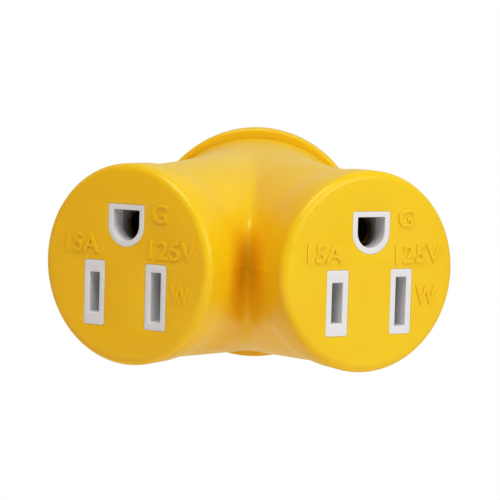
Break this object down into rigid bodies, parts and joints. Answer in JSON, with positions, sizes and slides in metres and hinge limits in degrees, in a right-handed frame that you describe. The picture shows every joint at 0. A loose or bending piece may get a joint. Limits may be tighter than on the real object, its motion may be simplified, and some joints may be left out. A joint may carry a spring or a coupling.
{
  "type": "y power adapter",
  "caption": "Moulded Y-shaped power adapter: a flat-blade grounded plug behind an oval flange, forking into angled round grounded sockets with flush white inserts.",
  "frame": {"origin": "centre of the plug's flat seating face, midway between the blades and level with the cap's middle", "axes": "+Y the way the plug is pushed into an outlet, +Z towards the ground pin, +X to the right when looking at the sockets; the sockets face -Y, turned 31 degrees outwards"},
  "size_m": [0.0698, 0.0934, 0.0446],
  "materials": {
    "yellow_vinyl": "moulded, soft gloss",
    "white_insert": "moulded, satin",
    "contact_brass": "stamped",
    "blade_nickel": "nickel plated",
    "tinned_copper": "tinned",
    "wire_black": "extruded insulation",
    "wire_white": "extruded insulation",
    "wire_green": "extruded insulation"
  },
  "bodies": {
    "root": {"y_body": "yellow_vinyl", "plug_cap": "yellow_vinyl", "plug_bridge": "white_insert", "blade_retainer": "white_insert", "hot_blade": "blade_nickel", "neutral_blade": "blade_nickel", "ground_pin": "blade_nickel", "hot_splice": "tinned_copper", "neutral_splice": "tinned_copper", "ground_splice": "tinned_copper", "left_socket_carrier": "white_insert", "right_socket_carrier": "white_insert", "left_contact_cover": "white_insert", "right_contact_cover": "white_insert", "left_hot_contact": "contact_brass", "left_neutral_contact": "contact_brass", "left_ground_contact": "contact_brass", "right_hot_contact": "contact_brass", "right_neutral_contact": "contact_brass", "right_ground_contact": "contact_brass", "left_hot_wire": "wire_black", "right_hot_wire": "wire_black", "left_neutral_wire": "wire_white", "right_neutral_wire": "wire_white", "left_ground_wire": "wire_green", "right_ground_wire": "wire_green"}
  },
  "joints": []
}
